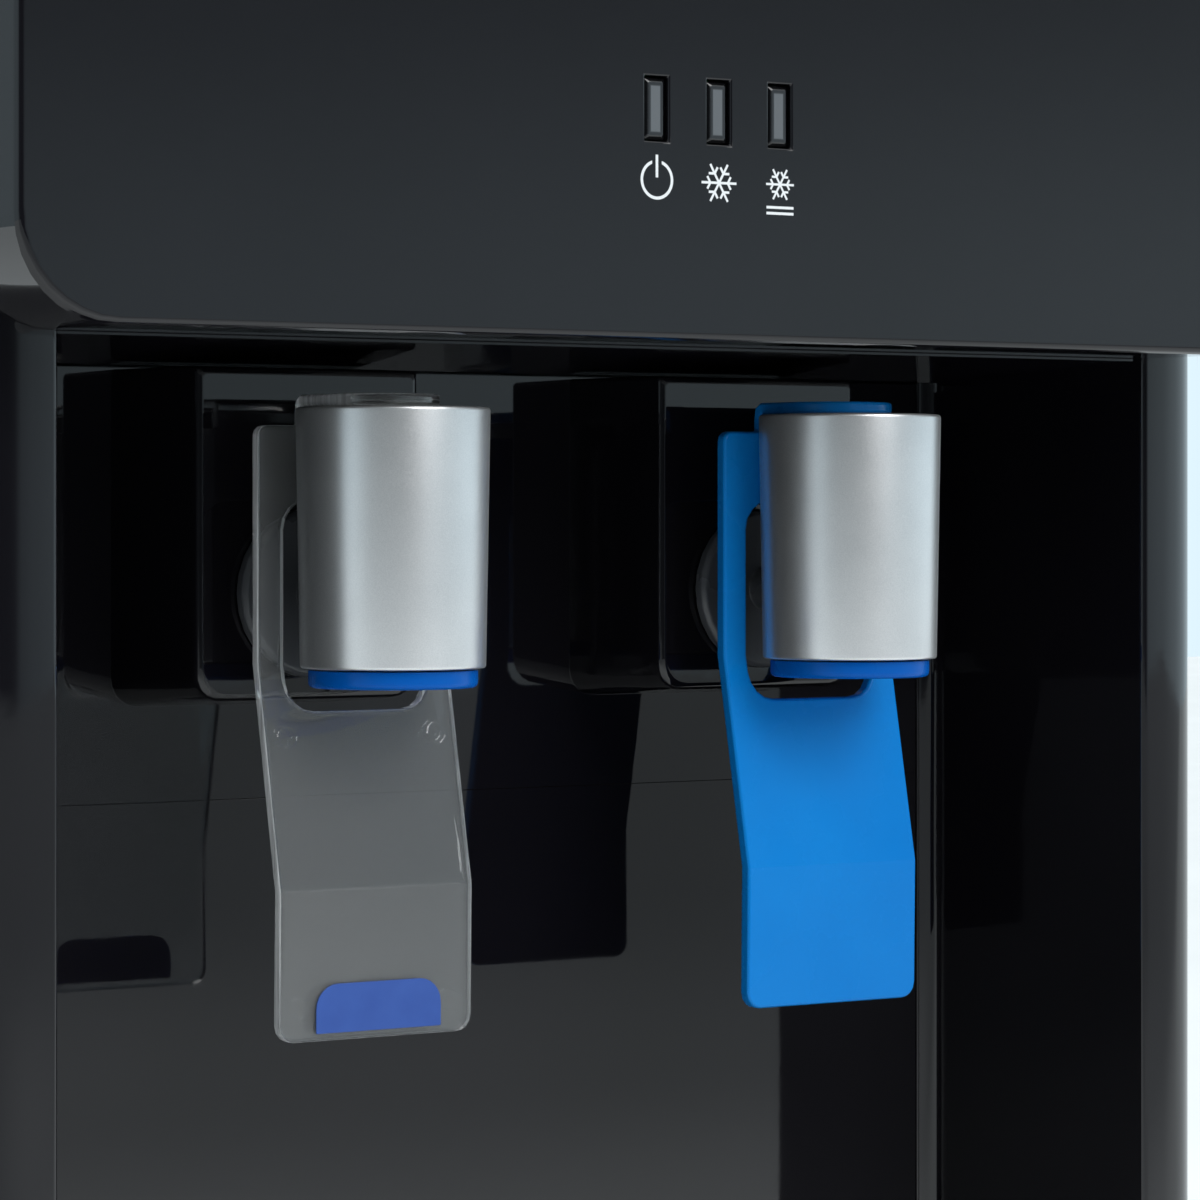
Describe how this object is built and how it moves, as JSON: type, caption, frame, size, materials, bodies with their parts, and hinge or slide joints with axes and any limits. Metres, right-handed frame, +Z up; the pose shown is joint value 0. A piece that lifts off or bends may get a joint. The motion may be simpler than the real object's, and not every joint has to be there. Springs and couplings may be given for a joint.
{
  "type": "countertop water dispenser",
  "caption": "Countertop cold water dispenser: push-lever taps in a recessed alcove over a pull-out drip tray, with a cooling tank and compressor inside.",
  "frame": {"origin": "middle of the body footprint on the surface the feet stand on", "axes": "+Z up, front faces -Y, +X to the right seen from the front"},
  "size_m": [0.313, 0.4014, 0.442],
  "materials": {
    "gloss_black": "high gloss black ABS",
    "satin_black": "satin black ABS",
    "side_paint": "satin black powder coat",
    "steel": "stainless",
    "satin_aluminium": "satin plated",
    "zinc": "zinc plated sheet",
    "blue_plastic": "moulded blue",
    "clear_plastic": "clear moulded plastic",
    "label_blue": "printed film",
    "ring_blue": "moulded blue",
    "lens_grey": "smoked lens",
    "rubber": "matt",
    "white_plastic": "natural food grade plastic",
    "board_green": "circuit board",
    "foam": "expanded foam",
    "pipe": "translucent tubing",
    "copper": "copper tube",
    "enamel": "black enamel"
  },
  "bodies": {
    "chassis": {"alcove_liner": "gloss_black", "tap_panel": "gloss_black", "splash_panel": "gloss_black", "alcove_ceiling": "gloss_black", "front_upper_cover": "gloss_black", "front_base": "gloss_black", "base_pan": "zinc", "side_panel_left": "side_paint", "side_panel_right": "side_paint", "rear_panel": "side_paint", "top_cover": "satin_black", "foot_front_left": "rubber", "foot_front_right": "rubber", "foot_rear_left": "rubber", "foot_rear_right": "rubber", "indicator_lens_power": "lens_grey", "indicator_lens_cooling": "lens_grey", "indicator_lens_cold": "lens_grey", "indicator_board": "board_green", "control_board": "board_green", "cold_tank": "steel", "tank_foam_jacket": "foam", "tank_foam_lid": "foam", "tank_shelf": "zinc", "compressor": "enamel", "compressor_grommet_a": "rubber", "compressor_grommet_b": "rubber", "compressor_grommet_c": "rubber", "compressor_grommet_d": "rubber", "condenser_coil": "copper", "tap_tube_left": "pipe", "tap_tube_right": "pipe", "supply_tube": "pipe", "water_inlet_fitting": "white_plastic", "inlet_valve": "white_plastic", "thermostat": "white_plastic", "power_inlet": "satin_black", "tap_body_left": "white_plastic", "tap_shank_left": "satin_black", "shank_nut_left": "white_plastic", "tap_sleeve_left": "satin_aluminium", "spout_ring_left": "ring_blue", "valve_spring_left": "steel", "tap_body_right": "white_plastic", "tap_shank_right": "satin_black", "shank_nut_right": "white_plastic", "tap_sleeve_right": "satin_aluminium", "spout_ring_right": "ring_blue", "valve_spring_right": "steel"},
    "left_lever": {"lever_left": "clear_plastic", "lever_label_left": "label_blue"},
    "left_stem": {"valve_stem_left": "white_plastic"},
    "right_lever": {"lever_right": "blue_plastic"},
    "right_stem": {"valve_stem_right": "white_plastic"},
    "tray": {"drip_tray": "satin_black"},
    "grille": {"drip_grille": "satin_black"},
    "rocker": {"rocker_switch": "satin_black"},
    "knob": {"thermostat_knob": "satin_black"},
    "plug": {"drain_plug": "satin_black"}
  },
  "joints": [
    {"name": "left_lever_push", "type": "hinge", "parent": "chassis", "child": "left_lever", "pos_m": [-0.0572, -0.17415, 0.302], "axis": [1, 0, 0], "range_deg": [0, 12], "stiffness_Nm_per_rad": 0.6},
    {"name": "left_stem_lift", "type": "slide", "parent": "chassis", "child": "left_stem", "axis": [0, 0, 1], "range_m": [0, 0.0012], "deforming": ["valve_spring_left"]},
    {"name": "right_lever_push", "type": "hinge", "parent": "chassis", "child": "right_lever", "pos_m": [0.0572, -0.17415, 0.302], "axis": [1, 0, 0], "range_deg": [0, 12], "stiffness_Nm_per_rad": 0.6},
    {"name": "right_stem_lift", "type": "slide", "parent": "chassis", "child": "right_stem", "axis": [0, 0, 1], "range_m": [0, 0.0012], "deforming": ["valve_spring_right"]},
    {"name": "tray_slide", "type": "slide", "parent": "chassis", "child": "tray", "axis": [0, -1, 0], "range_m": [0, 0.085]},
    {"name": "grille_lift", "type": "slide", "parent": "tray", "child": "grille", "axis": [0, 0, 1], "range_m": [0, 0.04]},
    {"name": "rocker_tilt", "type": "hinge", "parent": "chassis", "child": "rocker", "pos_m": [-0.1, 0.18235, 0.089], "axis": [1, 0, 0], "range_deg": [0, 16]},
    {"name": "thermostat_turn", "type": "hinge", "parent": "chassis", "child": "knob", "pos_m": [0.1, 0.18435, 0.408], "axis": [0, 1, 0], "range_deg": [0, 270]},
    {"name": "drain_plug_out", "type": "slide", "parent": "chassis", "child": "plug", "axis": [0, 1, 0], "range_m": [0, 0.02]}
  ],
  "couplings": [
    {"joint": "left_stem_lift", "follows": "left_lever_push", "m_per_rad": 0.0055},
    {"joint": "right_stem_lift", "follows": "right_lever_push", "m_per_rad": 0.0055}
  ]
}
